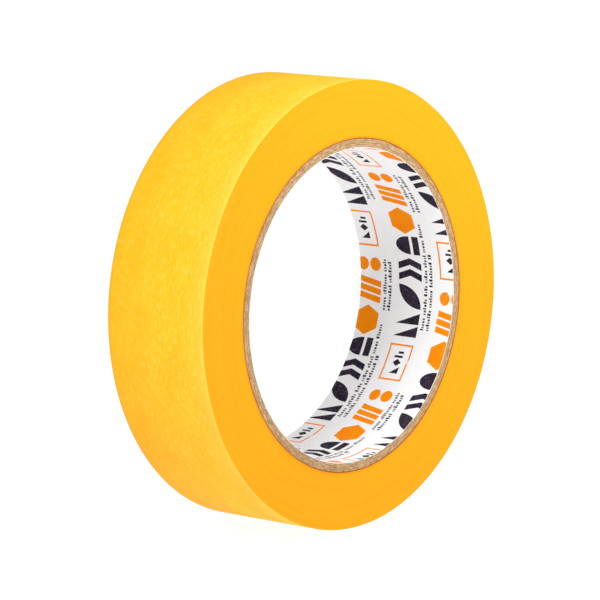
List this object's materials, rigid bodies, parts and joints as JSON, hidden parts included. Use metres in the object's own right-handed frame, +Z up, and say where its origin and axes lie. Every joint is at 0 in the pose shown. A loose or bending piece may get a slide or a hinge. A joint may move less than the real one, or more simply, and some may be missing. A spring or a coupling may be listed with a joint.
{
  "type": "masking tape roll",
  "caption": "Roll of yellow washi paper masking tape wound on a kraft paper core with a printed white liner; its free end peels away.",
  "frame": {"origin": "on the surface that the roll stands on, straight below the roll's centre", "axes": "+Y along the roll's axis, from its front face to its back face; +Z up through the roll's centre; +X towards the side where the tape's free end lies"},
  "size_m": [0.1088, 0.03, 0.1088],
  "materials": {
    "washi_tape": "satin",
    "kraft_paper": "matte",
    "liner_paper": "satin"
  },
  "bodies": {
    "roll": {"core_liner": "liner_paper", "core_ply_1": "kraft_paper", "core_ply_2": "kraft_paper", "core_ply_3": "kraft_paper", "core_ply_4": "kraft_paper", "wound_tape": "washi_tape"},
    "lead_1": {"tape_lead_1": "washi_tape"},
    "lead_2": {"tape_lead_2": "washi_tape"},
    "lead_3": {"tape_lead_3": "washi_tape"},
    "lead_4": {"tape_lead_4": "washi_tape"},
    "lead_5": {"tape_lead_5": "washi_tape"},
    "lead_6": {"tape_lead_6": "washi_tape"}
  },
  "joints": [
    {"name": "tape_end_peel", "type": "hinge", "parent": "roll", "child": "lead_1", "pos_m": [0.02567, 0, 0.1024], "axis": [0, -1, 0], "range_deg": [0, 90]},
    {"name": "tape_end_bend_2", "type": "hinge", "parent": "lead_1", "child": "lead_2", "pos_m": [0.03455, 0, 0.09647], "axis": [0, -1, 0], "range_deg": [0, 14]},
    {"name": "tape_end_bend_3", "type": "hinge", "parent": "lead_2", "child": "lead_3", "pos_m": [0.0421, 0, 0.08892], "axis": [0, -1, 0], "range_deg": [0, 14]},
    {"name": "tape_end_bend_4", "type": "hinge", "parent": "lead_3", "child": "lead_4", "pos_m": [0.04803, 0, 0.08005], "axis": [0, -1, 0], "range_deg": [0, 14]},
    {"name": "tape_end_bend_5", "type": "hinge", "parent": "lead_4", "child": "lead_5", "pos_m": [0.05212, 0, 0.07018], "axis": [0, -1, 0], "range_deg": [0, 14]},
    {"name": "tape_end_bend_6", "type": "hinge", "parent": "lead_5", "child": "lead_6", "pos_m": [0.0542, 0, 0.05971], "axis": [0, -1, 0], "range_deg": [0, 14]}
  ],
  "couplings": [
    {"joint": "tape_end_bend_2", "follows": "tape_end_peel", "ratio": 0.15},
    {"joint": "tape_end_bend_3", "follows": "tape_end_peel", "ratio": 0.15},
    {"joint": "tape_end_bend_4", "follows": "tape_end_peel", "ratio": 0.15},
    {"joint": "tape_end_bend_5", "follows": "tape_end_peel", "ratio": 0.15},
    {"joint": "tape_end_bend_6", "follows": "tape_end_peel", "ratio": 0.15}
  ]
}
